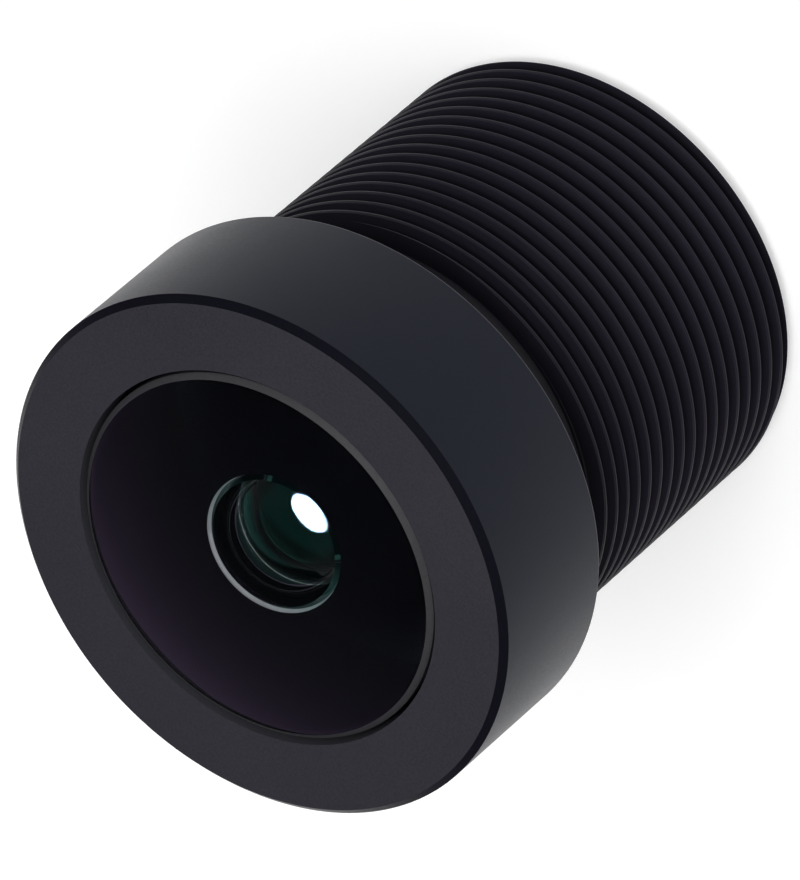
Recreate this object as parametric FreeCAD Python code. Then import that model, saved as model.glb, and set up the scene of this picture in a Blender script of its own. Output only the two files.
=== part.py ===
"""Board camera lens with an M12 x 0.5 mounting thread, in millimetres.

The lens stands on its rear end: +Z runs along the optical axis and out of the
front, and the origin is the centre of the rear end. Every piece is turned
about that axis. Heights are built up from the rear end and radii are built
outwards from the bore, so each piece rests on the one below it.
"""
import FreeCAD
import Part
import math
import os

# Mounting thread and barrel
thread_diameter = 11.96
thread_relief_depth = 0.36
thread_relief_length = 1.60
thread_end_bevel = 0.20
rear_lead_in = 0.38
barrel_wall = 1.98

# Fits
lens_clearance = 0.02
pocket_clearance = 0.03
cap_thread_clearance = 0.02
filter_clearance = 0.05
crown_clearance = 0.15
cap_end_gap = 0.10

# Head: front cap and the pocket for the first lens
head_length = 4.20
cap_wall = 0.70
cap_front_bevel = 0.20
cap_rear_bevel = 0.08
lip_thickness = 0.80
lip_overlap = 0.47
pocket_wall = 0.70

# First lens: convex front, stepped edge, small deep hollow at the back
front_lens_crown = 1.05
front_lens_mouth_gap = 0.15
front_lens_rim_bevel = 0.16
front_lens_flange_thickness = 1.26
front_lens_hollow_radius = 1.45
front_lens_hollow_depth = 0.51

# Seal ring, square cut, in the step round the first lens's seat
seal_height = 0.60
seal_width = 0.95
seal_clearance = 0.05
seat_land = 0.35

# Light shields and stop
front_shield_thickness = 0.30
front_shield_ledge = 0.20
front_shield_hole_bevel = 0.13
shield_film_thickness = 0.08
shield_film_land = 1.30
stop_hole_radius = 1.05

# Lenses in the bore: each has one flat face and one crowned face inside a flat land
second_lens_edge = 1.10
second_lens_land = 1.58
second_lens_crown = 0.37
third_lens_edge = 1.00
third_lens_land = 1.38
third_lens_crown = 0.65
doublet_edge = 2.20
doublet_land = 1.78
doublet_crown = 0.50
rear_lens_edge = 1.10
rear_lens_land = 1.08
rear_lens_crown = 0.63

# Spacer rings
first_spacer_length = 0.90
first_spacer_wall = 1.20
spacer_bore_clearance = 0.12

# Retaining ring, filter and filter ring
retaining_ring_thickness = 1.00
retaining_ring_wall = 0.85
spanner_notch_width = 0.80
spanner_notch_depth = 0.45
spanner_notch_count = 2
back_space = 1.25
filter_thickness = 0.55
filter_ledge = 0.45
filter_ring_thickness = 0.30
filter_ring_wall = 0.75
filter_ring_recess = 0.05

# Radii, from the bore outwards
thread_radius = thread_diameter / 2
relief_radius = thread_radius - thread_relief_depth
bore_radius = thread_radius - barrel_wall
lens_radius = bore_radius - lens_clearance
shield_pocket_radius = bore_radius + front_shield_ledge
seat_radius = shield_pocket_radius + seat_land
seal_inner_radius = seat_radius + seal_clearance
flange_radius = seal_inner_radius + seal_width
pocket_radius = flange_radius + pocket_clearance
spigot_radius = pocket_radius + pocket_wall
cap_bore_radius = spigot_radius + cap_thread_clearance
head_radius = cap_bore_radius + cap_wall
mouth_radius = flange_radius - lip_overlap
front_lens_neck_radius = mouth_radius - front_lens_mouth_gap
filter_pocket_radius = bore_radius + filter_ledge
filter_radius = filter_pocket_radius - filter_clearance

# Radii of the crowned part of each face
second_lens_clear = lens_radius - second_lens_land
third_lens_clear = lens_radius - third_lens_land
doublet_clear = lens_radius - doublet_land
rear_lens_clear = lens_radius - rear_lens_land

# Lengths that follow from the crowns they make room for
web_thickness = second_lens_crown + crown_clearance
stop_spacer_length = third_lens_crown + crown_clearance
doublet_spacer_length = doublet_crown + crown_clearance
rear_spacer_length = rear_lens_crown + crown_clearance

# Heights of the underside of each piece, from the rear end upwards
filter_ring_bottom = filter_ring_recess
filter_bottom = filter_ring_bottom + filter_ring_thickness
filter_seat = filter_bottom + filter_thickness
retaining_ring_bottom = filter_seat + back_space
rear_lens_bottom = retaining_ring_bottom + retaining_ring_thickness
rear_spacer_bottom = rear_lens_bottom + rear_lens_edge
rear_shield_bottom = rear_spacer_bottom + rear_spacer_length
doublet_bottom = rear_shield_bottom + shield_film_thickness
doublet_spacer_bottom = doublet_bottom + doublet_edge
stop_bottom = doublet_spacer_bottom + doublet_spacer_length
stop_spacer_bottom = stop_bottom + shield_film_thickness
third_lens_bottom = stop_spacer_bottom + stop_spacer_length
first_spacer_bottom = third_lens_bottom + third_lens_edge
second_shield_bottom = first_spacer_bottom + first_spacer_length
second_lens_bottom = second_shield_bottom + shield_film_thickness
web_bottom = second_lens_bottom + second_lens_edge
front_shield_bottom = web_bottom + web_thickness
front_lens_seat = front_shield_bottom + front_shield_thickness
flange_top = front_lens_seat + front_lens_flange_thickness
front_face = flange_top + lip_thickness
seal_bottom = front_lens_seat - seal_height
spigot_top = flange_top - cap_end_gap
shoulder = front_face - head_length
thread_top = shoulder - thread_relief_length

AXIS_START = FreeCAD.Vector(0, 0, 0)
AXIS = FreeCAD.Vector(0, 0, 1)
FULL_TURN = 360


def place(radius, height):
    """A point of a half section, in the plane through the axis."""
    return FreeCAD.Vector(radius, 0, height)


def straight_edges(points):
    """The straight edges that join (radius, height) points in turn."""
    return [Part.makeLine(place(*start), place(*end)) for start, end in zip(points, points[1:])]


def turn(edges):
    """The solid that a closed half section sweeps in one turn about the axis."""
    section = Part.Face(Part.Wire(edges))
    return section.revolve(AXIS_START, AXIS, FULL_TURN)


def turned_ring(points):
    """A ring, tube or disc with a straight-sided half section."""
    return turn(straight_edges(points + points[:1]))


def surface_height(clear_radius, rise, radius):
    """Height of a spherical surface above its rim, at a radius inside the rim."""
    curve = (clear_radius ** 2 + rise ** 2) / (2 * rise)
    return rise - curve + math.copysign(math.sqrt(curve ** 2 - radius ** 2), rise)


def surface_edge(clear_radius, rim_height, rise):
    """The arc of a lens surface, from its rim to the axis."""
    middle_height = rim_height + surface_height(clear_radius, rise, clear_radius / 2)
    rim = place(clear_radius, rim_height)
    middle = place(clear_radius / 2, middle_height)
    crown = place(0, rim_height + rise)
    return Part.Arc(rim, middle, crown).toShape()


def crowned_lens(flat_height, rim_height, clear_radius, rise):
    """A lens of the bore's diameter: a flat face, and a crowned face inside a flat land."""
    outline = [
        (clear_radius, rim_height),
        (lens_radius, rim_height),
        (lens_radius, flat_height),
        (0, flat_height),
        (0, rim_height + rise),
    ]
    return turn([surface_edge(clear_radius, rim_height, rise)] + straight_edges(outline))


def bore_ring(bottom, length, inner_radius):
    """A plain ring that fits the bore: a spacer, a light shield or the stop."""
    top = bottom + length
    return turned_ring([
        (inner_radius, bottom),
        (lens_radius, bottom),
        (lens_radius, top),
        (inner_radius, top),
    ])


def front_cap():
    """The head: a screwed cap whose lip clamps the first lens."""
    return turned_ring([
        (cap_bore_radius, shoulder),
        (head_radius - cap_rear_bevel, shoulder),
        (head_radius, shoulder + cap_rear_bevel),
        (head_radius, front_face - cap_front_bevel),
        (head_radius - cap_front_bevel, front_face),
        (mouth_radius, front_face),
        (mouth_radius, flange_top),
        (cap_bore_radius, flange_top),
    ])


def barrel():
    """The body, with the mounting thread at its major diameter."""
    web_hole_radius = second_lens_clear + spacer_bore_clearance
    outside = [
        (filter_pocket_radius, 0),
        (thread_radius - rear_lead_in, 0),
        (thread_radius, rear_lead_in),
        (thread_radius, thread_top - thread_end_bevel),
        (relief_radius, thread_top),
        (relief_radius, shoulder),
        (spigot_radius, shoulder),
        (spigot_radius, spigot_top),
    ]
    front_pocket = [
        (pocket_radius, spigot_top),
        (pocket_radius, seal_bottom),
        (seat_radius, seal_bottom),
        (seat_radius, front_lens_seat),
        (shield_pocket_radius, front_lens_seat),
        (shield_pocket_radius, front_shield_bottom),
    ]
    bore = [
        (web_hole_radius, front_shield_bottom),
        (web_hole_radius, web_bottom),
        (bore_radius, web_bottom),
        (bore_radius, filter_seat),
        (filter_pocket_radius, filter_seat),
    ]
    return turned_ring(outside + front_pocket + bore)


def front_lens():
    """The first lens: its crown stands out of the mouth and its flange is under the lip."""
    rim_radius = front_lens_neck_radius - front_lens_rim_bevel
    outline = [
        (front_lens_hollow_radius, front_lens_seat),
        (flange_radius, front_lens_seat),
        (flange_radius, flange_top),
        (front_lens_neck_radius, flange_top),
        (front_lens_neck_radius, front_face - front_lens_rim_bevel),
        (rim_radius, front_face),
    ]
    crown = surface_edge(rim_radius, front_face, front_lens_crown)
    hollow = surface_edge(front_lens_hollow_radius, front_lens_seat, front_lens_hollow_depth)
    axis_line = Part.makeLine(
        place(0, front_face + front_lens_crown),
        place(0, front_lens_seat + front_lens_hollow_depth),
    )
    return turn([hollow] + straight_edges(outline) + [crown, axis_line])


def front_seal_ring():
    """The rubber ring under the first lens's flange."""
    return turned_ring([
        (seal_inner_radius, seal_bottom),
        (flange_radius, seal_bottom),
        (flange_radius, front_lens_seat),
        (seal_inner_radius, front_lens_seat),
    ])


def front_light_shield():
    """The ring under the first lens, with a bevelled edge round its hole."""
    hole_radius = front_lens_hollow_radius + lens_clearance
    outer_radius = shield_pocket_radius - lens_clearance
    return turned_ring([
        (hole_radius, front_shield_bottom),
        (outer_radius, front_shield_bottom),
        (outer_radius, front_lens_seat),
        (hole_radius + front_shield_hole_bevel, front_lens_seat),
        (hole_radius, front_lens_seat - front_shield_hole_bevel),
    ])


def second_lens():
    """The lens under the web, crowned to the front."""
    rim = second_lens_bottom + second_lens_edge
    return crowned_lens(second_lens_bottom, rim, second_lens_clear, second_lens_crown)


def second_light_shield():
    """The film under the second lens."""
    return bore_ring(second_shield_bottom, shield_film_thickness, lens_radius - shield_film_land)


def first_spacer():
    """The ring between the second lens's film and the third lens."""
    return bore_ring(first_spacer_bottom, first_spacer_length, lens_radius - first_spacer_wall)


def third_lens():
    """The lens before the stop, crowned to the back."""
    flat = third_lens_bottom + third_lens_edge
    return crowned_lens(flat, third_lens_bottom, third_lens_clear, -third_lens_crown)


def stop_spacer():
    """The ring that keeps the aperture stop clear of the third lens."""
    inner_radius = third_lens_clear + spacer_bore_clearance
    return bore_ring(stop_spacer_bottom, stop_spacer_length, inner_radius)


def aperture_stop():
    """The thin disc with the fixed aperture."""
    return bore_ring(stop_bottom, shield_film_thickness, stop_hole_radius)


def doublet_spacer():
    """The ring between the aperture stop and the cemented pair."""
    inner_radius = doublet_clear + spacer_bore_clearance
    return bore_ring(doublet_spacer_bottom, doublet_spacer_length, inner_radius)


def cemented_doublet():
    """Two glasses cemented into one piece, crowned to the front."""
    rim = doublet_bottom + doublet_edge
    return crowned_lens(doublet_bottom, rim, doublet_clear, doublet_crown)


def rear_light_shield():
    """The film under the cemented pair."""
    inner_radius = rear_lens_clear + spacer_bore_clearance
    return bore_ring(rear_shield_bottom, shield_film_thickness, inner_radius)


def rear_spacer():
    """The ring between the cemented pair and the last lens."""
    inner_radius = rear_lens_clear + spacer_bore_clearance
    return bore_ring(rear_spacer_bottom, rear_spacer_length, inner_radius)


def rear_lens():
    """The last lens, crowned to the front."""
    rim = rear_lens_bottom + rear_lens_edge
    return crowned_lens(rear_lens_bottom, rim, rear_lens_clear, rear_lens_crown)


def rear_retaining_ring():
    """The screwed ring that clamps the stack, with spanner notches in its rear face."""
    ring = bore_ring(
        retaining_ring_bottom,
        retaining_ring_thickness,
        lens_radius - retaining_ring_wall,
    )
    corner = FreeCAD.Vector(0, -spanner_notch_width / 2, retaining_ring_bottom)
    for index in range(spanner_notch_count):
        notch = Part.makeBox(bore_radius, spanner_notch_width, spanner_notch_depth, corner)
        notch.rotate(AXIS_START, AXIS, index * FULL_TURN / spanner_notch_count)
        ring = ring.cut(notch)
    return ring


def infrared_filter():
    """The filter plate in its recess at the rear end."""
    return turned_ring([
        (0, filter_bottom),
        (filter_radius, filter_bottom),
        (filter_radius, filter_seat),
        (0, filter_seat),
    ])


def filter_ring():
    """The thin ring that holds the filter."""
    return turned_ring([
        (filter_radius - filter_ring_wall, filter_ring_bottom),
        (filter_radius, filter_ring_bottom),
        (filter_radius, filter_bottom),
        (filter_radius - filter_ring_wall, filter_bottom),
    ])


PIECES = [
    front_cap,
    barrel,
    front_lens,
    front_seal_ring,
    front_light_shield,
    second_lens,
    second_light_shield,
    first_spacer,
    third_lens,
    stop_spacer,
    aperture_stop,
    doublet_spacer,
    cemented_doublet,
    rear_light_shield,
    rear_spacer,
    rear_lens,
    rear_retaining_ring,
    infrared_filter,
    filter_ring,
]

os.makedirs("parts", exist_ok=True)
for piece in PIECES:
    solid = piece()
    solid.exportStep("parts/" + piece.__name__ + ".step")
    print(piece.__name__, solid.isValid(), round(solid.Volume, 4))
print("front face at", round(front_face, 4))
print("head diameter", round(2 * head_radius, 4))
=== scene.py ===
import math

import bpy
from mathutils import Matrix, Vector


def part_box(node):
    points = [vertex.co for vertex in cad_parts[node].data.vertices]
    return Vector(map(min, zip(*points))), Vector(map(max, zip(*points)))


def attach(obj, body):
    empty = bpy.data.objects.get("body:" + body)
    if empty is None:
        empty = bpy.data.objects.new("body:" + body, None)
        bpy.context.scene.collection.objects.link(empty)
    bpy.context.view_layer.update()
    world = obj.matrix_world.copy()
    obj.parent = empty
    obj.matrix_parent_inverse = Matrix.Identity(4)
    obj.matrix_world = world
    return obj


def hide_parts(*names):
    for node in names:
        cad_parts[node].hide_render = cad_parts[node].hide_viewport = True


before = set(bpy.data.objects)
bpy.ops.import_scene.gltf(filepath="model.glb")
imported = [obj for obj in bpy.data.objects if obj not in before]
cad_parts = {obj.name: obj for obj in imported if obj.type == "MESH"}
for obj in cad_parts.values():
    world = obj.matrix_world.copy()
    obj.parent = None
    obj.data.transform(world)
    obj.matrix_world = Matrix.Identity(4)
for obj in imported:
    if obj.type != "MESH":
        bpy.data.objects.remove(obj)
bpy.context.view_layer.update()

# Sizes of the lens are in millimetres, and MM makes them metres. The studio is in metres.
MM = 0.001
FULL_TURN = 2 * math.pi

# Smoothness of the turned pieces
FACETS = 192
CURVE_STEPS = 24
FILLET_STEPS = 5
MERGE_DISTANCE = 0.001

# Heights above the rear end, the same as on the solids
FILTER_BOTTOM = 0.35
FILTER_TOP = 0.90
THREAD_TOP = 9.00
SHOULDER = 10.60
WEB_BOTTOM = 11.92
SEAL_FLOOR = 12.14
SHIELD_FLOOR = 12.44
LENS_SEAT = 12.74
SPIGOT_TOP = 13.90
FLANGE_TOP = 14.00
FRONT_FACE = 14.80

# Head
HEAD_RADIUS = 7.00
HEAD_BEVEL = 0.17
HEAD_FILLET = 0.07
CAP_BORE = 6.30
LIP_RADIUS = 5.05

# Barrel, from the outside inwards
SPIGOT_RADIUS = 6.28
THREAD_RADIUS = 5.98
RELIEF_RADIUS = 5.62
LENS_POCKET_RADIUS = 5.58
SEAT_RADIUS = 4.55
FILTER_POCKET_RADIUS = 4.45
SHIELD_POCKET_RADIUS = 4.20
BORE_RADIUS = 4.00
WEB_HOLE_RADIUS = 2.52
REAR_LEAD_IN = 0.38
THREAD_END_BEVEL = 0.20

# Mounting thread, M12 x 0.5
THREAD_PITCH = 0.50
FIRST_CREST = 8.76
GROOVE_DEPTH = 0.307
GROOVE_MOUTH = 0.4375
GROOVE_ROOT = 0.083
GROOVE_TURNS = 20
CREST_BREAK = 0.03
CREST_BREAK_ANGLE = 30
CUTTER_MARGIN = 0.05

# Between these radii the thread's black turns from the painted shade in its roots to the plain colour of
# its crests.
ROOT_PAINTED_SHADE_RADIUS = 5.72
CREST_PAINTED_SHADE_RADIUS = 5.96

# First lens
FLANGE_RADIUS = 5.55
NECK_RADIUS = 4.93
RIM_RADIUS = 4.77
CROWN_RISE = 1.05
HOLLOW_RADIUS = 1.45
HOLLOW_DEPTH = 0.51

# Light shield under the first lens
SHIELD_RADIUS = 4.18
SHIELD_HOLE_RADIUS = 1.47
SHIELD_BEVEL = 0.15
SHIELD_BLACK_PART = 0.072
SHIELD_TOP = 12.735

# Other lenses and the filter
LENS_RADIUS = 3.98
FILTER_RADIUS = 4.40
FILTER_BREAK = 0.03

# A face is a wall, a bevel or flat by the height of its normal, which is 1 where it looks straight up.
WALL_LIMIT = 0.30
BEVEL_LIMIT = 0.95


# shaping


def deselect_all():
    bpy.ops.object.select_all(action="DESELECT")


def activate(piece):
    """Makes the piece the only one that the next operators act on."""
    deselect_all()
    piece.select_set(True)
    bpy.context.view_layer.objects.active = piece


def start_point(name, radius, height):
    """A new piece in edit mode, with one point of its half section."""
    deselect_all()
    bpy.ops.mesh.primitive_plane_add(size=MM, location=(radius * MM, 0, height * MM))
    piece = bpy.context.object
    piece.name = name
    piece.data.name = name
    bpy.ops.object.transform_apply(location=True, rotation=True, scale=True)
    bpy.ops.object.mode_set(mode="EDIT")
    bpy.ops.mesh.select_all(action="SELECT")
    bpy.ops.mesh.merge(type="CENTER")
    return piece


def extrude_along(outline):
    """Extrudes the selected point through the other points of the outline."""
    for (radius, height), (next_radius, next_height) in zip(outline, outline[1:]):
        step = ((next_radius - radius) * MM, 0, (next_height - height) * MM)
        bpy.ops.mesh.extrude_vertices_move(TRANSFORM_OT_translate={"value": step})


def merge_doubles():
    """Joins points that lie on each other. The piece is in edit mode."""
    bpy.ops.mesh.select_all(action="SELECT")
    bpy.ops.mesh.remove_doubles(threshold=MERGE_DISTANCE * MM)


def close_up():
    """Joins the seam and turns all faces outwards. The piece is in edit mode."""
    merge_doubles()
    bpy.ops.mesh.normals_make_consistent(inside=False)


def turned(name, outline, closed=True):
    """A piece whose half section is spun one full turn about the optical axis."""
    piece = start_point(name, *outline[0])
    extrude_along(outline + outline[:1] if closed else outline)
    bpy.ops.mesh.select_all(action="SELECT")
    bpy.ops.mesh.spin(steps=FACETS, angle=FULL_TURN, center=(0, 0, 0), axis=(0, 0, 1))
    close_up()
    bpy.ops.object.mode_set(mode="OBJECT")
    return piece


def break_edges(piece, width):
    """Breaks the sharp edges with a small rounded bevel."""
    activate(piece)
    bpy.ops.object.modifier_add(type="BEVEL")
    bevel = piece.modifiers[-1]
    bevel.width = width * MM
    bevel.segments = 2
    bevel.limit_method = "ANGLE"
    bevel.angle_limit = math.radians(30)
    bpy.ops.object.modifier_apply(modifier=bevel.name)


def smooth(piece, angle=25):
    """Shades the piece smooth, apart from edges that are sharper than the angle."""
    activate(piece)
    bpy.ops.object.shade_smooth_by_angle(angle=math.radians(angle))


def sphere_points(clear_radius, rim_height, rise):
    """Points of a spherical lens surface, from its rim to the axis."""
    curve = (clear_radius ** 2 + rise ** 2) / (2 * rise)
    half_angle = math.asin(clear_radius / abs(curve))
    points = []
    for step in range(CURVE_STEPS + 1):
        turn = half_angle * (1 - step / CURVE_STEPS)
        sagitta = curve * (math.cos(turn) - math.cos(half_angle))
        points.append((abs(curve) * math.sin(turn), rim_height + sagitta))
    return points


def fillet_points(wall_radius, foot_height, size):
    """Points of a rounded lower edge, from the flat foot to the outer wall."""
    points = []
    for step in range(FILLET_STEPS + 1):
        turn = math.radians(90 * step / FILLET_STEPS)
        radius = wall_radius - size + size * math.sin(turn)
        height = foot_height + size - size * math.cos(turn)
        points.append((radius, height))
    return points


# materials

# Height of the fine grain on matt and ground surfaces
GRAIN_DEPTH = 0.002

# Places of a Mix node's factor, two colours and mixed colour
MIX_COLOUR_INPUTS = (0, 6, 7)
MIX_COLOUR_OUTPUT = 2


class Wiring:
    """Short names for the nodes that a finish or the studio walls need."""

    def __init__(self, tree):
        self.nodes = tree.nodes
        self.links = tree.links

    def feed(self, socket, value):
        """Gives the socket a number, a colour or another node's output."""
        if isinstance(value, tuple):
            socket.default_value = (*value, 1)
        elif isinstance(value, (int, float)):
            socket.default_value = value
        else:
            self.links.new(value, socket)

    def output(self, kind, socket):
        return self.nodes.new(kind).outputs[socket]

    def math(self, operation, *values):
        node = self.nodes.new("ShaderNodeMath")
        node.operation = operation
        for socket, value in zip(node.inputs, values):
            self.feed(socket, value)
        return node.outputs["Value"]

    def axis(self, place, letter):
        split = self.nodes.new("ShaderNodeSeparateXYZ")
        self.feed(split.inputs["Vector"], place)
        return split.outputs[letter]

    def spread(self, value, low, high, start=0.3, end=0.7, ease="LINEAR"):
        """Runs from low to high while the value runs from start to end, where most of a noise lies."""
        node = self.nodes.new("ShaderNodeMapRange")
        node.interpolation_type = ease
        self.feed(node.inputs["Value"], value)
        self.feed(node.inputs["From Min"], start)
        self.feed(node.inputs["From Max"], end)
        self.feed(node.inputs["To Min"], low)
        self.feed(node.inputs["To Max"], high)
        return node.outputs["Result"]

    def mix_colours(self, factor, first, second):
        node = self.nodes.new("ShaderNodeMix")
        node.data_type = "RGBA"
        for place, value in zip(MIX_COLOUR_INPUTS, (factor, first, second)):
            self.feed(node.inputs[place], value)
        return node.outputs[MIX_COLOUR_OUTPUT]

    def mix_levels(self, factor, first, second):
        node = self.nodes.new("ShaderNodeMix")
        self.feed(node.inputs["Factor"], factor)
        self.feed(node.inputs["A"], first)
        self.feed(node.inputs["B"], second)
        return node.outputs["Result"]

    def ray(self, kind):
        """1 for the rays of that kind, and 0 for all others."""
        return self.output("ShaderNodeLightPath", kind)

    def seen(self):
        """1 where the camera, a mirror image or glass shows the place, and 0 where it only gives light."""
        straight_or_mirrored = self.math("MAXIMUM", self.ray("Is Camera Ray"), self.ray("Is Glossy Ray"))
        return self.math("MAXIMUM", straight_or_mirrored, self.ray("Is Transmission Ray"))


class Finish(Wiring):
    """A new material, with what the finishes of this lens share."""

    def __init__(self, name):
        self.material = bpy.data.materials.new(name)
        self.material.use_nodes = True
        super().__init__(self.material.node_tree)
        self.shader = self.nodes["Principled BSDF"]
        self.place = self.output("ShaderNodeTexCoord", "Object")

    def set(self, socket, value):
        self.feed(self.shader.inputs[socket], value)

    def along(self, letter):
        return self.axis(self.place, letter)

    def radius(self):
        """Distance from the optical axis."""
        x, y = self.along("X"), self.along("Y")
        squares = self.math("ADD", self.math("MULTIPLY", x, x), self.math("MULTIPLY", y, y))
        return self.math("SQRT", squares)

    def grain(self, scale, detail):
        """Noise in space."""
        node = self.nodes.new("ShaderNodeTexNoise")
        self.feed(node.inputs["Vector"], self.place)
        self.feed(node.inputs["Scale"], scale)
        self.feed(node.inputs["Detail"], detail)
        return node.outputs["Fac"]

    def turning_marks(self, scale, detail, roughness):
        """Noise along the half section, which makes rings about the optical axis."""
        node = self.nodes.new("ShaderNodeTexNoise")
        node.noise_dimensions = "1D"
        self.feed(node.inputs["W"], self.math("ADD", self.radius(), self.along("Z")))
        self.feed(node.inputs["Scale"], scale)
        self.feed(node.inputs["Detail"], detail)
        self.feed(node.inputs["Roughness"], roughness)
        return node.outputs["Fac"]

    def bump(self, height, depth):
        node = self.nodes.new("ShaderNodeBump")
        self.feed(node.inputs["Height"], height)
        self.feed(node.inputs["Strength"], 1.0)
        self.feed(node.inputs["Distance"], depth * MM)
        self.set("Normal", node.outputs["Normal"])


def scaled(colour, share):
    return tuple(share * part for part in colour)


def black_anodising(name, dark, light, smoothest, roughest, mark_depth, specular, groove=None):
    """Satin black dyed aluminium: fine grain, faint turning marks and cloudy sheen.

    A groove's root and crest radius paint shade into the thread's roots, darker towards the root.
    """
    finish = Finish(name)
    marks = finish.turning_marks(scale=9000, detail=3.0, roughness=0.6)
    grain = finish.grain(scale=16000, detail=2.0)
    clouds = finish.grain(scale=260, detail=3.0)
    painted_root_shade = 0.75
    cloudiness = 0.02
    mark_share = 0.6
    grain_share = 0.4
    colour = finish.mix_colours(finish.spread(grain, 0, 1), dark, light)
    # Painted shade: the colour darkens from the crest radius into the thread's roots.
    if groove:
        root, crest = groove
        out_of_painted_root_shade = finish.spread(finish.radius(), 0, 1, root * MM, crest * MM)
        colour = finish.mix_colours(out_of_painted_root_shade, scaled(dark, painted_root_shade), colour)
    finish.set("Base Color", colour)
    cloudy = finish.spread(clouds, -cloudiness, cloudiness)
    finish.set("Roughness", finish.math("ADD", cloudy, finish.spread(grain, smoothest, roughest)))
    raised_marks = finish.math("MULTIPLY", marks, mark_share)
    raised_grain = finish.math("MULTIPLY", grain, grain_share)
    finish.bump(finish.math("ADD", raised_marks, raised_grain), mark_depth)
    finish.set("Specular IOR Level", specular)
    finish.set("IOR", 1.5)
    return finish.material


def matt_black(name, colour, roughness, specular=0.15):
    """Dull black of the inner rings, films and painted lens edges."""
    finish = Finish(name)
    grain = finish.grain(scale=22000, detail=3.0)
    lighter = scaled(colour, 1.6)
    unevenness = 0.08
    finish.set("Base Color", finish.mix_colours(finish.spread(grain, 0, 1), colour, lighter))
    finish.set("Roughness", finish.spread(grain, roughness - unevenness, roughness + unevenness))
    finish.bump(grain, GRAIN_DEPTH)
    finish.set("Specular IOR Level", specular)
    return finish.material


def coated_glass(name, tint, coating, index):
    """Polished glass. Its coating colours the reflection, and a faint haze its tint."""
    finish = Finish(name)
    haze = finish.spread(finish.grain(scale=500, detail=2.0), 0, 1)
    hazy_tint = scaled(tint, 0.985)
    finish.set("Base Color", finish.mix_colours(haze, tint, hazy_tint))
    finish.set("Roughness", 0.0)
    finish.set("Transmission Weight", 1.0)
    finish.set("IOR", index)
    finish.set("Specular Tint", coating)
    return finish.material


def ground_glass():
    """The ground bevel and neck of the first lens."""
    finish = Finish("ground_glass_edge")
    dark = (0.023, 0.023, 0.026)
    light = (0.038, 0.038, 0.043)
    grain = finish.grain(scale=30000, detail=3.0)
    finish.set("Base Color", finish.mix_colours(finish.spread(grain, 0, 1), dark, light))
    finish.set("Roughness", finish.spread(grain, 0.30, 0.45))
    finish.bump(grain, GRAIN_DEPTH)
    return finish.material


def bright_turned_edge():
    """The bare bevelled edge of the shield's hole."""
    finish = Finish("bright_turned_edge")
    dark = (0.50, 0.51, 0.53)
    light = (0.68, 0.69, 0.71)
    marks = finish.turning_marks(scale=40000, detail=2.0, roughness=0.5)
    finish.set("Base Color", finish.mix_colours(finish.spread(marks, 0, 1), dark, light))
    finish.set("Roughness", finish.spread(marks, 0.38, 0.46))
    finish.set("Metallic", 1.0)
    return finish.material


# The head's face black. The side, bevel and rim finishes below are copies of it with painted shade or a
# painted highlight.
face_black = black_anodising(
    "cap_face_anodised",
    dark=(0.0240, 0.0230, 0.0300),
    light=(0.0300, 0.0290, 0.0380),
    smoothest=0.29,
    roughest=0.35,
    mark_depth=0.0010,
    specular=0.06,
)
# Painted shade: the head's side is a darker, bluer copy of the face black, for the less light it gets.
side_black_painted_shade = black_anodising(
    "cap_side_painted_shade",
    dark=(0.0055, 0.0075, 0.0160),
    light=(0.0068, 0.0092, 0.0195),
    smoothest=0.36,
    roughest=0.42,
    mark_depth=0.0010,
    specular=0.11,
)
# Painted shade: a much darker copy of the face black, for the dark band along the front bevel.
bevel_black_painted_shade = black_anodising(
    "cap_bevel_painted_shade",
    dark=(0.0035, 0.0035, 0.0070),
    light=(0.0046, 0.0046, 0.0090),
    smoothest=0.29,
    roughest=0.35,
    mark_depth=0.0006,
    specular=0.06,
)
# Painted highlight: a lighter copy of the face black, for the light caught at the rear rim and the mouth
# wall.
rim_black_painted_highlight = black_anodising(
    "cap_rim_painted_highlight",
    dark=(0.0520, 0.0530, 0.0620),
    light=(0.0620, 0.0630, 0.0740),
    smoothest=0.36,
    roughest=0.42,
    mark_depth=0.0006,
    specular=0.11,
)
# The thread's black anodising, with painted shade in its roots.
thread_black_and_root_shade = black_anodising(
    "thread_black_anodised_painted_root_shade",
    dark=(0.0095, 0.0082, 0.0148),
    light=(0.0120, 0.0106, 0.0185),
    smoothest=0.42,
    roughest=0.50,
    mark_depth=0.0008,
    specular=0.17,
    groove=(ROOT_PAINTED_SHADE_RADIUS, CREST_PAINTED_SHADE_RADIUS),
)

spacer_black = matt_black("spacer_matt_black", (0.012, 0.012, 0.0125), roughness=0.60)
film_black = matt_black("film_matt_black", (0.014, 0.014, 0.014), roughness=0.70)
rubber_black = matt_black("seal_rubber_black", (0.010, 0.010, 0.010), roughness=0.75)
edge_paint = matt_black("lens_edge_black_paint", (0.0018, 0.0016, 0.0022), roughness=0.80, specular=0.0)

front_glass = coated_glass(
    "front_lens_glass", tint=(0.97, 0.98, 1.0), coating=(0.02, 0.055, 0.095), index=1.66
)
hollow_glass = coated_glass(
    "front_lens_hollow_coating", tint=(0.50, 0.85, 0.78), coating=(0.04, 0.10, 0.095), index=1.66
)
green_glass = coated_glass(
    "second_lens_glass", tint=(0.97, 1.0, 0.98), coating=(0.04, 0.12, 0.11), index=1.70
)
inner_glass = coated_glass(
    "inner_lens_glass", tint=(0.97, 0.99, 0.98), coating=(0.06, 0.16, 0.14), index=1.62
)
filter_glass = coated_glass(
    "filter_glass", tint=(0.60, 0.88, 0.86), coating=(0.85, 0.30, 0.45), index=1.52
)
frosted = ground_glass()
bare_edge = bright_turned_edge()


def give(piece, *materials):
    piece.data.materials.clear()
    for material in materials:
        piece.data.materials.append(material)


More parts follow.
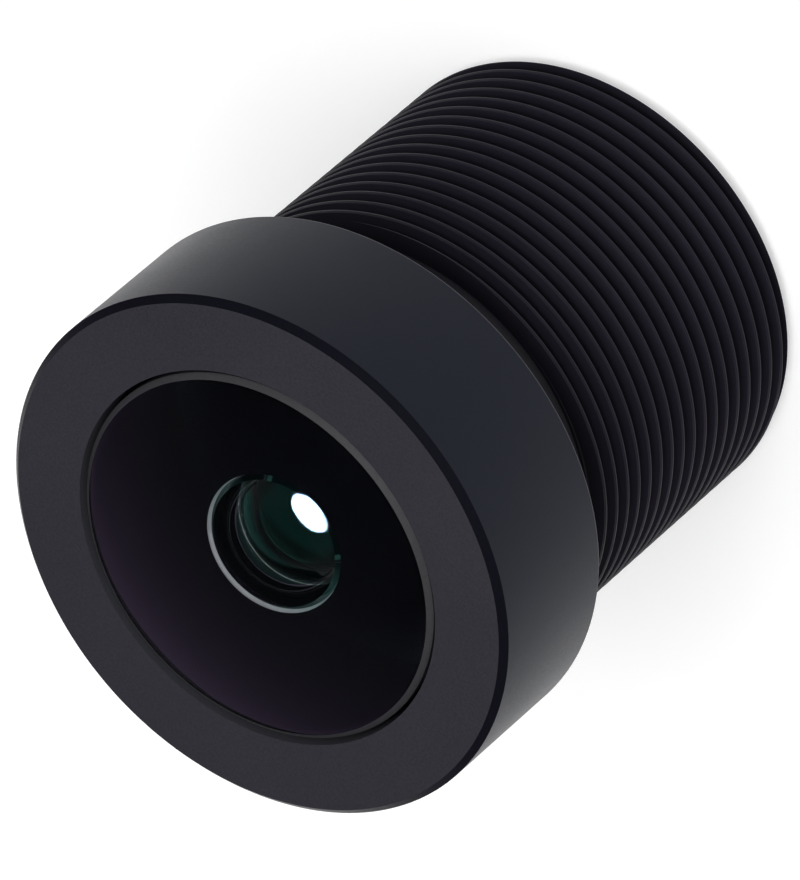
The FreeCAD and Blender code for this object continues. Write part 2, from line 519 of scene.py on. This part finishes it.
def finish_faces(piece, material, wanted):
    """Gives the material to each face that is wanted for its radius, its height and how far it looks up."""
    index = piece.data.materials.find(material.name)
    for face in piece.data.polygons:
        middle = face.center / MM
        radius = math.hypot(middle.x, middle.y)
        if wanted(radius, middle.z, face.normal.z):
            face.material_index = index


def is_wall(up):
    return abs(up) < WALL_LIMIT


def is_bevel(up):
    return WALL_LIMIT <= up < BEVEL_LIMIT


def stand_in(piece, node):
    """Puts the piece in the place of the CAD node."""
    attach(piece, "root")
    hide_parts(node)


# pieces


def make_cap():
    """The head. Its front bevel and its sides carry painted shade, and its rear rim and mouth wall a
    painted highlight.
    """
    inside_bevel = HEAD_RADIUS - HEAD_BEVEL
    rim_top = SHOULDER + HEAD_FILLET
    piece = turned("head_cap", [
        (CAP_BORE, SHOULDER),
        *fillet_points(HEAD_RADIUS, SHOULDER, HEAD_FILLET),
        (HEAD_RADIUS, FRONT_FACE - HEAD_BEVEL),
        (inside_bevel, FRONT_FACE),
        (LIP_RADIUS, FRONT_FACE),
        (LIP_RADIUS, FLANGE_TOP),
        (CAP_BORE, FLANGE_TOP),
    ])
    smooth(piece)
    give(piece, face_black, side_black_painted_shade, bevel_black_painted_shade, rim_black_painted_highlight)
    # Painted shade on the side and the front bevel, and a painted highlight on the rear rim and the mouth
    # wall.
    finish_faces(piece, side_black_painted_shade, lambda radius, height, up: radius > inside_bevel and is_wall(up))
    finish_faces(piece, bevel_black_painted_shade, lambda radius, height, up: radius > inside_bevel and is_bevel(up))
    finish_faces(piece, rim_black_painted_highlight, lambda radius, height, up: radius > inside_bevel and height < rim_top)
    finish_faces(piece, rim_black_painted_highlight, lambda radius, height, up: radius < LIP_RADIUS and is_wall(up))
    stand_in(piece, "front_cap")


def groove_section():
    """The groove's V, with a break on its lower side, on the lowest turn of the helix."""
    outside = THREAD_RADIUS + CUTTER_MARGIN
    flank = THREAD_RADIUS - CREST_BREAK
    root = THREAD_RADIUS - GROOVE_DEPTH
    slope = (GROOVE_MOUTH - GROOVE_ROOT) / 2 / GROOVE_DEPTH
    half_mouth = GROOVE_MOUTH / 2
    half_flank = half_mouth - CREST_BREAK * slope
    half_break = half_flank + CREST_BREAK / math.tan(math.radians(CREST_BREAK_ANGLE))
    half_root = GROOVE_ROOT / 2
    top_turn = FIRST_CREST + THREAD_PITCH / 2 - THREAD_PITCH / 4
    middle = top_turn - (GROOVE_TURNS - 1) * THREAD_PITCH
    return [
        (outside, middle - half_break),
        (outside, middle + half_mouth),
        (THREAD_RADIUS, middle + half_mouth),
        (root, middle + half_root),
        (root, middle - half_root),
        (flank, middle - half_flank),
        (THREAD_RADIUS, middle - half_break),
        (outside, middle - half_break),
    ]


def make_groove_cutter():
    """The groove's section, wound up along the thread's helix and closed at both ends."""
    section = groove_section()
    piece = start_point("groove_cutter", *section[0])
    extrude_along(section)
    merge_doubles()
    bpy.ops.object.mode_set(mode="OBJECT")
    bpy.ops.object.modifier_add(type="SCREW")
    helix = piece.modifiers[-1]
    helix.axis = "Z"
    helix.angle = FULL_TURN
    helix.screw_offset = THREAD_PITCH * MM
    helix.iterations = GROOVE_TURNS
    helix.steps = FACETS
    helix.render_steps = FACETS
    bpy.ops.object.modifier_apply(modifier=helix.name)
    bpy.ops.object.mode_set(mode="EDIT")
    merge_doubles()
    bpy.ops.mesh.fill_holes(sides=len(section))
    bpy.ops.mesh.select_all(action="SELECT")
    bpy.ops.mesh.normals_make_consistent(inside=False)
    bpy.ops.object.mode_set(mode="OBJECT")
    return piece


def cut_groove(piece):
    """Cuts the fine thread, and joins the doubled points that the cut leaves."""
    cutter = make_groove_cutter()
    activate(piece)
    bpy.ops.object.modifier_add(type="BOOLEAN")
    cut = piece.modifiers[-1]
    cut.operation = "DIFFERENCE"
    cut.solver = "EXACT"
    cut.object = cutter
    bpy.ops.object.modifier_apply(modifier=cut.name)
    bpy.data.objects.remove(cutter)
    bpy.ops.object.mode_set(mode="EDIT")
    close_up()
    bpy.ops.object.mode_set(mode="OBJECT")


def make_barrel():
    """The barrel, with its fine thread, bore and pockets."""
    piece = turned("threaded_barrel", [
        (FILTER_POCKET_RADIUS, 0),
        (THREAD_RADIUS - REAR_LEAD_IN, 0),
        (THREAD_RADIUS, REAR_LEAD_IN),
        (THREAD_RADIUS, THREAD_TOP - THREAD_END_BEVEL),
        (RELIEF_RADIUS, THREAD_TOP),
        (RELIEF_RADIUS, SHOULDER),
        (SPIGOT_RADIUS, SHOULDER),
        (SPIGOT_RADIUS, SPIGOT_TOP),
        (LENS_POCKET_RADIUS, SPIGOT_TOP),
        (LENS_POCKET_RADIUS, SEAL_FLOOR),
        (SEAT_RADIUS, SEAL_FLOOR),
        (SEAT_RADIUS, LENS_SEAT),
        (SHIELD_POCKET_RADIUS, LENS_SEAT),
        (SHIELD_POCKET_RADIUS, SHIELD_FLOOR),
        (WEB_HOLE_RADIUS, SHIELD_FLOOR),
        (WEB_HOLE_RADIUS, WEB_BOTTOM),
        (BORE_RADIUS, WEB_BOTTOM),
        (BORE_RADIUS, FILTER_TOP),
        (FILTER_POCKET_RADIUS, FILTER_TOP),
    ])
    cut_groove(piece)
    smooth(piece, angle=20)
    give(piece, thread_black_and_root_shade)
    stand_in(piece, "barrel")


def make_front_lens():
    """The first lens: polished crown and hollow, ground bevel and neck, blackened flange."""
    crown = sphere_points(RIM_RADIUS, FRONT_FACE, CROWN_RISE)
    hollow = sphere_points(HOLLOW_RADIUS, LENS_SEAT, HOLLOW_DEPTH)
    clear_edge = HOLLOW_RADIUS + 0.14
    polish_radius = RIM_RADIUS + 0.02
    polish_end = FRONT_FACE - 0.015
    bevel_end = FRONT_FACE - 0.13
    ground_end = FRONT_FACE - 0.35
    piece = turned("front_lens_glass", [
        *reversed(crown),
        (polish_radius, polish_end),
        (NECK_RADIUS, bevel_end),
        (NECK_RADIUS, ground_end),
        (NECK_RADIUS, FLANGE_TOP),
        (FLANGE_RADIUS, FLANGE_TOP),
        (FLANGE_RADIUS, LENS_SEAT),
        (clear_edge, LENS_SEAT),
        *hollow,
    ], closed=False)
    smooth(piece)
    give(piece, front_glass, frosted, edge_paint, hollow_glass)
    finish_faces(piece, edge_paint, lambda radius, height, up: radius > clear_edge and height < polish_end)
    finish_faces(piece, frosted, lambda radius, height, up: radius > polish_radius and height > ground_end)
    finish_faces(piece, hollow_glass,
                 lambda radius, height, up: radius < HOLLOW_RADIUS and height < FLANGE_TOP)
    stand_in(piece, "front_lens")


def make_shield():
    """The black ring under the first lens. The upper part of its hole's bevel is bright."""
    bevel_bottom = LENS_SEAT - SHIELD_BEVEL
    bright_radius = SHIELD_HOLE_RADIUS + SHIELD_BLACK_PART
    piece = turned("front_shield_ring", [
        (SHIELD_HOLE_RADIUS, SHIELD_FLOOR),
        (SHIELD_RADIUS, SHIELD_FLOOR),
        (SHIELD_RADIUS, SHIELD_TOP),
        (SHIELD_HOLE_RADIUS + SHIELD_BEVEL, SHIELD_TOP),
        (bright_radius, bevel_bottom + SHIELD_BLACK_PART),
        (SHIELD_HOLE_RADIUS, bevel_bottom),
    ])
    smooth(piece)
    give(piece, spacer_black, bare_edge)
    finish_faces(piece, bare_edge, lambda radius, height, up: radius > bright_radius and is_bevel(up))
    stand_in(piece, "front_light_shield")


def make_inner_lens(name, node, glass, rim_height, clear_radius, rise):
    """A lens of the bore's diameter, with one crown inside a blackened land.

    The crown's rim is measured from the node's lower end, and a rise below zero points the crown down.
    """
    low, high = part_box(node)
    bottom, top = low.z / MM, high.z / MM
    flat = bottom if rise > 0 else top
    rim = bottom + rim_height
    piece = turned(name, [
        *reversed(sphere_points(clear_radius, rim, rise)),
        (LENS_RADIUS, rim),
        (LENS_RADIUS, flat),
        (clear_radius, flat),
        (0, flat),
    ], closed=False)
    smooth(piece)
    give(piece, glass, edge_paint)
    finish_faces(piece, edge_paint, lambda radius, height, up: radius > clear_radius)
    stand_in(piece, node)


def make_filter():
    """The coated filter plate at the rear end, with broken edges."""
    piece = turned("infrared_filter_plate", [
        (0, FILTER_BOTTOM),
        (FILTER_RADIUS, FILTER_BOTTOM),
        (FILTER_RADIUS, FILTER_TOP),
        (0, FILTER_TOP),
    ], closed=False)
    break_edges(piece, FILTER_BREAK)
    smooth(piece)
    give(piece, filter_glass)
    stand_in(piece, "infrared_filter")


make_cap()
make_barrel()
make_front_lens()
make_shield()
make_inner_lens(
    "second_lens_glass", "second_lens", green_glass,
    rim_height=1.10, clear_radius=2.40, rise=0.37,
)
make_inner_lens(
    "third_lens_glass", "third_lens", inner_glass,
    rim_height=0.65, clear_radius=2.60, rise=-0.65,
)
make_inner_lens(
    "doublet_glass", "cemented_doublet", inner_glass,
    rim_height=2.20, clear_radius=2.20, rise=0.50,
)
make_inner_lens(
    "rear_lens_glass", "rear_lens", inner_glass,
    rim_height=1.10, clear_radius=2.90, rise=0.63,
)
make_filter()

# Pieces that are finished as they come from the CAD model
ring_finishes = {
    "front_seal_ring": rubber_black,
    "second_light_shield": film_black,
    "first_spacer": spacer_black,
    "stop_spacer": spacer_black,
    "aperture_stop": film_black,
    "doublet_spacer": spacer_black,
    "rear_light_shield": film_black,
    "rear_spacer": spacer_black,
    "rear_retaining_ring": spacer_black,
    "filter_ring": spacer_black,
}
for node, ring_finish in ring_finishes.items():
    for material_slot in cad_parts[node].material_slots:
        material_slot.material = ring_finish


# studio

# Levels of light, where 1 is white. The walls fade towards the ceiling and to both sides.
WALL_LEVEL = 1.0
CEILING_LEVEL = 0.15
CEILING_FADE = (0.45, 0.85)
SIDE_WALL_SHARE = 0.30
SIDE_WALL_FADE = (0.20, 0.90)
ROOM_LIGHT = 0.25
FLOOR_LIFT = 0.53

# The standing card's colours in mirror images, from its foot to its top
CARD_FOOT = (0.16, 0.12, 0.20)
CARD_TOP = (0.15, 0.15, 0.15)
CARD_BLEND = (0.10, 0.60)

# Its colours where they are seen through the lens, below and above a slanting line
CARD_BELOW = (0.004, 0.010, 0.009)
CARD_ABOVE = (0.14, 0.43, 0.37)
CARD_LINE = (0.34, 0.41)
CARD_LINE_SLANT = 0.3


def make_floor():
    """A pale floor just under the lens. It shows white and keeps the soft shadow."""
    deselect_all()
    width = 4
    just_below = -0.00002
    bpy.ops.mesh.primitive_plane_add(size=width, location=(0, 0, just_below))
    floor = bpy.context.object
    floor.name = "studio_floor"
    finish = Finish("pale_floor")
    finish.set("Base Color", (0.62, 0.62, 0.62))
    finish.set("Roughness", 0.9)
    finish.set("Specular IOR Level", 0.1)
    finish.set("Emission Strength", finish.math("MULTIPLY", finish.seen(), FLOOR_LIFT))
    finish.set("Emission Color", (1, 1, 1))
    floor.data.materials.append(finish.material)


def lay_card(name, near_end, far_end):
    """A card on the floor behind the lens, between two distances. Only mirror images and glass show it."""
    deselect_all()
    above_floor = 0.0005
    width = 3.6
    middle = (0, -(far_end + near_end) / 2, above_floor)
    bpy.ops.mesh.primitive_plane_add(size=1, location=middle)
    card = bpy.context.object
    card.name = name
    card.scale = (width, far_end - near_end, 1)
    bpy.ops.object.transform_apply(location=True, rotation=True, scale=True)
    card.visible_camera = False
    card.visible_diffuse = False
    card.visible_shadow = False
    return card


def card_black(name):
    """A finish that reflects nothing."""
    finish = Finish(name)
    finish.set("Base Color", (0, 0, 0))
    finish.set("Specular IOR Level", 0)
    finish.set("Roughness", 1.0)
    return finish


def raise_far_end(card, height):
    """Extrudes the card's far edge straight up."""
    mesh = card.data
    far_end = min(vertex.co.y for vertex in mesh.vertices)
    for vertex in mesh.vertices:
        vertex.select = vertex.co.y < far_end + MM
    for edge in mesh.edges:
        edge.select = all(mesh.vertices[end].select for end in edge.vertices)
    for face in mesh.polygons:
        face.select = False
    bpy.ops.object.mode_set(mode="EDIT")
    bpy.ops.mesh.extrude_edges_move(TRANSFORM_OT_translate={"value": (0, 0, height)})
    bpy.ops.object.mode_set(mode="OBJECT")


def make_near_card():
    """The black card close to the lens, which only glass shows."""
    card = lay_card("near_card", near_end=0.012, far_end=0.06)
    card.data.materials.append(card_black("near_card").material)
    card.visible_glossy = False


def make_standing_card():
    """A dark card that stands up at its far end and gives the glass its faint colours."""
    card = lay_card("standing_card", near_end=0.06, far_end=0.45)
    raise_far_end(card, height=0.62)
    finish = card_black("standing_card")
    upwards = finish.along("Z")
    mirrored = finish.mix_colours(finish.spread(upwards, 0, 1, *CARD_BLEND), CARD_FOOT, CARD_TOP)
    line_height = finish.math("MULTIPLY", finish.along("X"), CARD_LINE_SLANT)
    past_line = finish.spread(finish.math("SUBTRACT", upwards, line_height), 0, 1, *CARD_LINE)
    through_lens = finish.mix_colours(past_line, CARD_BELOW, CARD_ABOVE)
    colour = finish.mix_colours(finish.ray("Is Reflection Ray"), through_lens, mirrored)
    finish.set("Emission Color", colour)
    finish.set("Emission Strength", finish.ray("Is Glossy Ray"))
    card.data.materials.append(finish.material)


def make_world():
    """White walls at the horizon under a darker ceiling, and darker walls on both sides.

    Only mirror images and glass show them so. The camera sees plain white, and the room light is even.
    """
    world = bpy.data.worlds.new("studio_walls")
    bpy.context.scene.world = world
    world.use_nodes = True
    room = Wiring(world.node_tree)
    direction = room.output("ShaderNodeTexCoord", "Generated")
    upwards = room.axis(direction, "Z")
    sideways = room.math("ABSOLUTE", room.axis(direction, "X"))
    height_level = room.spread(upwards, WALL_LEVEL, CEILING_LEVEL, *CEILING_FADE, ease="SMOOTHSTEP")
    side_share = room.spread(sideways, 1.0, SIDE_WALL_SHARE, *SIDE_WALL_FADE)
    walls = room.math("MULTIPLY", height_level, side_share)
    shown = room.mix_levels(room.ray("Is Camera Ray"), walls, 1.0)
    level = room.mix_levels(room.seen(), ROOM_LIGHT, shown)
    background = room.nodes["Background"]
    room.feed(background.inputs["Strength"], level)
    room.feed(background.inputs["Color"], (1, 1, 1))


def make_lamp(name, shape, width, height, power, direction, distance, aim_height):
    """An area lamp that faces a point of the optical axis from a direction."""
    light = bpy.data.lights.new(name, "AREA")
    light.shape = shape
    light.size = width
    light.size_y = height
    light.energy = power
    lamp = bpy.data.objects.new(name, light)
    bpy.context.scene.collection.objects.link(lamp)
    aim = Vector((0, 0, aim_height * MM))
    away = Vector(direction).normalized()
    lamp.location = aim + away * distance
    lamp.rotation_mode = "QUATERNION"
    lamp.rotation_quaternion = away.to_track_quat("Z", "Y")
    lamp.visible_camera = False
    lamp.visible_transmission = False
    return lamp


def make_main_softbox():
    """The large lamp above the lens. Nothing mirrors it."""
    lamp = make_lamp(
        "main_softbox", shape="RECTANGLE", width=0.6, height=0.6, power=6.9,
        direction=(0, 0.40, 1), distance=0.9, aim_height=FRONT_FACE / 2,
    )
    lamp.visible_glossy = False


def make_highlight_lamp():
    """The small oval lamp whose mirror image is the bright spot on the first lens."""
    tilt = math.radians(14.56)
    lamp = make_lamp(
        "highlight_lamp", shape="ELLIPSE", width=0.052, height=0.036, power=2.0,
        direction=(0, -math.sin(tilt), math.cos(tilt)), distance=0.30, aim_height=FRONT_FACE + CROWN_RISE,
    )
    lamp.visible_diffuse = False


def make_camera():
    """The photograph's view: from above the front, rolled so the barrel runs to the upper right."""
    toward_camera = Vector((0, 0.7253, 0.6884))
    picture_right = Vector((0.6520, 0.5219, -0.5499))
    picture_up = Vector((-0.7582, 0.4489, -0.4729))
    distance = 333.3
    pixels_per_mm = 42.122
    face_left_of_middle = 143.8
    face_below_middle = 118.7
    sensor = 36
    picture_height = 880
    face = Vector((0, 0, FRONT_FACE))
    place = face + distance * toward_camera
    aim_right = face_left_of_middle / pixels_per_mm * picture_right
    aim_up = face_below_middle / pixels_per_mm * picture_up
    back = (place - (face + aim_right + aim_up)).normalized()
    right = picture_up.cross(back).normalized()
    up = back.cross(right)
    data = bpy.data.cameras.new("photo_camera")
    data.sensor_width = sensor
    data.lens = pixels_per_mm * distance / picture_height * sensor
    data.clip_start = 0.01
    data.clip_end = 20
    camera = bpy.data.objects.new("photo_camera", data)
    bpy.context.scene.collection.objects.link(camera)
    camera.rotation_mode = "QUATERNION"
    camera.rotation_quaternion = Matrix((right, up, back)).transposed().to_quaternion()
    camera.location = place * MM
    bpy.context.scene.camera = camera


make_floor()
make_world()
make_standing_card()
make_near_card()
make_main_softbox()
make_highlight_lamp()
make_camera()
bpy.context.scene.view_settings.view_transform = "Standard"
